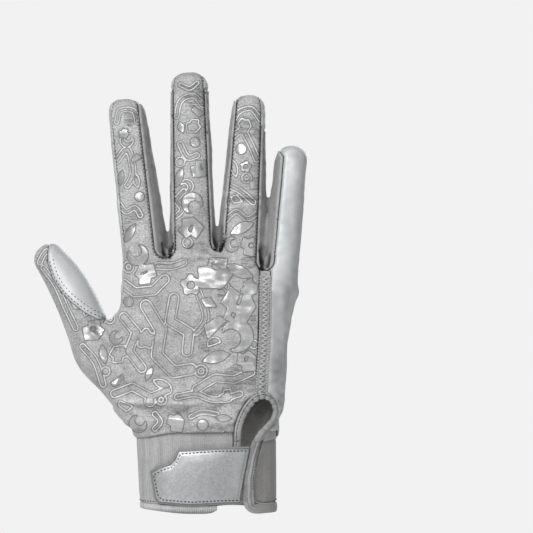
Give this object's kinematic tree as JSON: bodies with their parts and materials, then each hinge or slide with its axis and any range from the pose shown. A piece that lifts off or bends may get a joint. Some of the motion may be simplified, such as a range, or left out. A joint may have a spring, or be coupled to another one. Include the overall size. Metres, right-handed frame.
{
  "type": "sports catching glove",
  "caption": "Right-hand sports catching glove with a coated palm, printed fabric back, side strips between the fingers, keyhole wrist slit and strap; open at the wrist.",
  "frame": {"origin": "middle of the wrist opening, level with the hem's lowest edge, where a forearm comes in", "axes": "+Z along the hand to the fingertips, the palm faces +Y and the back of the hand -Y, the thumb points to -X"},
  "size_m": [0.147, 0.0486, 0.235],
  "materials": {
    "heather_fabric": "gray heather knit with a glossy silver film print",
    "pearl_silver": "pearl silver coated synthetic leather, glossy",
    "side_fabric": "dark gray plain knit",
    "patch_fabric": "gray perforated knit",
    "seam_tape_fabric": "gray tape with zigzag stitching",
    "cuff_knit": "gray elastic knit, ribbed upright",
    "hem_rib": "gray ribbed binding",
    "binding_tape": "gray folded elastic tape",
    "hook_fastener": "dark gray hook fastener",
    "strap_fabric": "gray woven webbing",
    "strap_silver": "matt silver coated synthetic leather"
  },
  "bodies": {
    "root": {"back_panel": "heather_fabric", "palm_panel": "pearl_silver", "side_strip_index_middle": "side_fabric", "side_strip_middle_ring": "side_fabric", "side_strip_ring_little": "side_fabric", "web_patch": "patch_fabric", "seam_tape": "seam_tape_fabric", "cuff_band": "cuff_knit", "cuff_hem": "hem_rib", "slit_binding": "binding_tape", "hook_patch": "hook_fastener", "strap_base": "strap_fabric", "strap_face": "strap_silver"}
  },
  "joints": []
}
